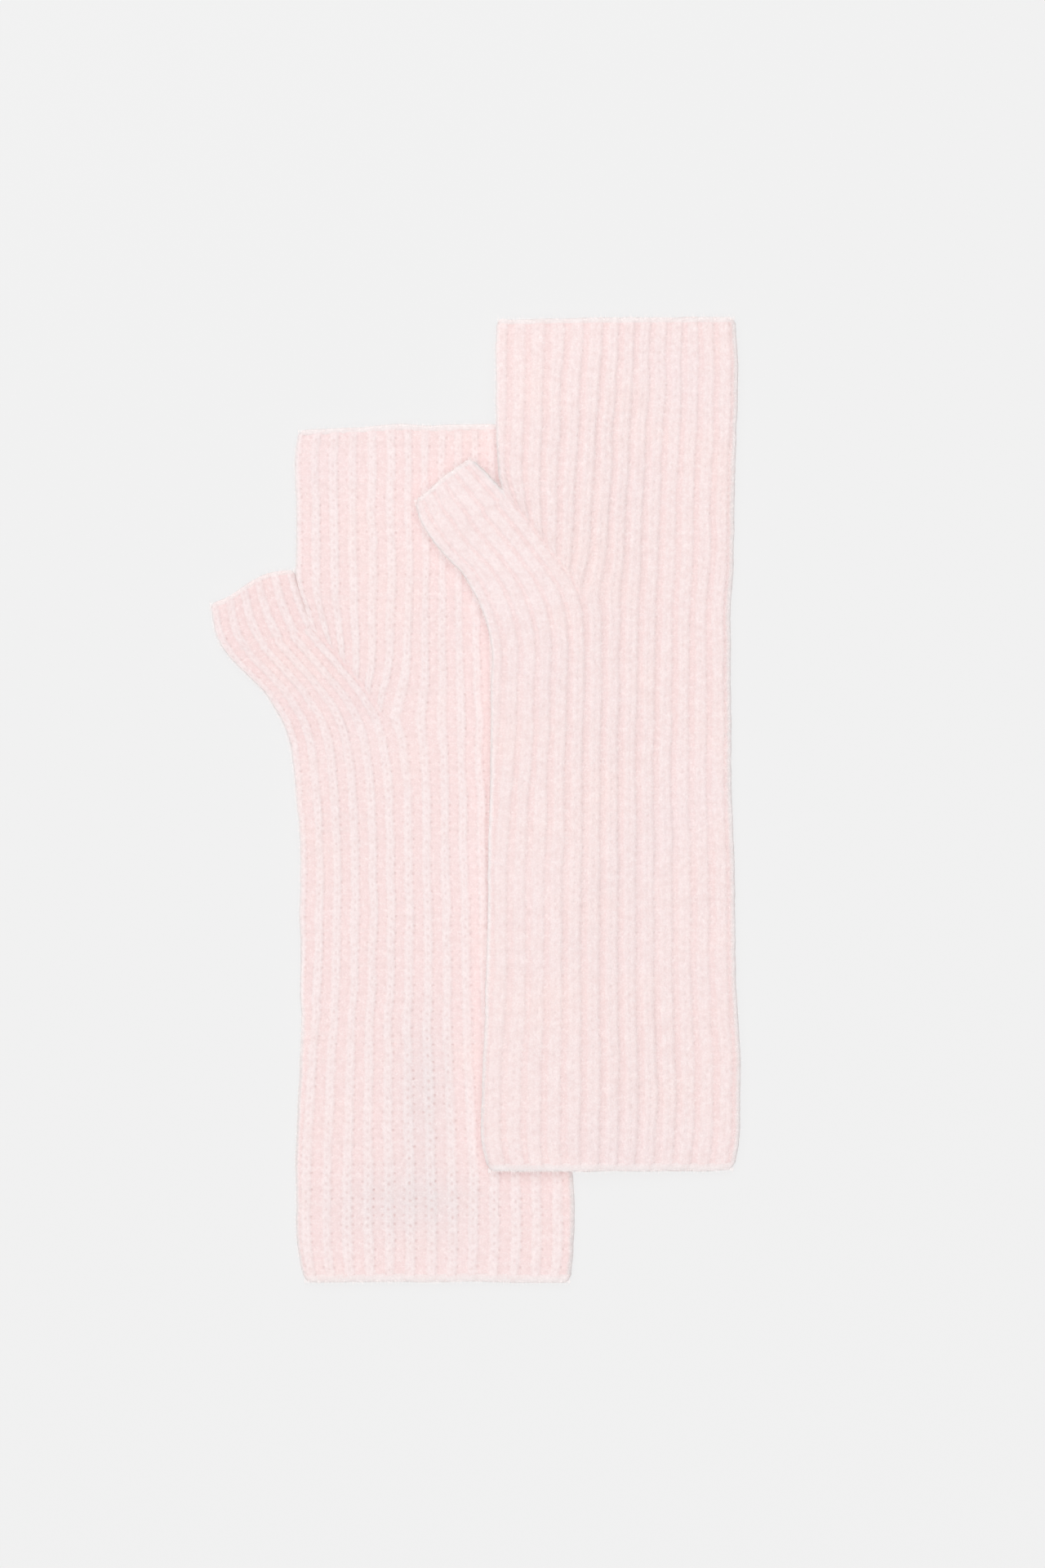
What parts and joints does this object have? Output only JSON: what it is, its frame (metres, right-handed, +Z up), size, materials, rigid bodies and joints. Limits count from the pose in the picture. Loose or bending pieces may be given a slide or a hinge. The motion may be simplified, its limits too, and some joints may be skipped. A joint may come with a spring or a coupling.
{
  "type": "pair of long fingerless rib-knit mitts, laid flat",
  "caption": "Two long fingerless knit mitts laid flat, one lying partly on the other: ribbed arm and hand tubes, slanted thumb tubes, rolled cast-on and narrow bound-off edges.",
  "frame": {"origin": "on the surface the pair lies on, under the middle of the pair's box in plan", "axes": "+Y from the arm ends to the hand ends, +X towards the mitt that lies on top, +Z up from the surface"},
  "size_m": [0.1866, 0.3388, 0.0109],
  "materials": {
    "body_knit": "soft brushed rib knit, pale pink",
    "thumb_knit": "soft brushed rib knit, pale pink",
    "edge_knit": "soft cast-on and bound-off edge, pale pink"
  },
  "bodies": {
    "root": {"left_body": "body_knit", "left_thumb": "thumb_knit", "left_arm_edge": "edge_knit", "left_hand_edge": "edge_knit", "left_thumb_edge": "edge_knit", "right_body": "body_knit", "right_thumb": "thumb_knit", "right_arm_edge": "edge_knit", "right_hand_edge": "edge_knit", "right_thumb_edge": "edge_knit"}
  },
  "joints": []
}
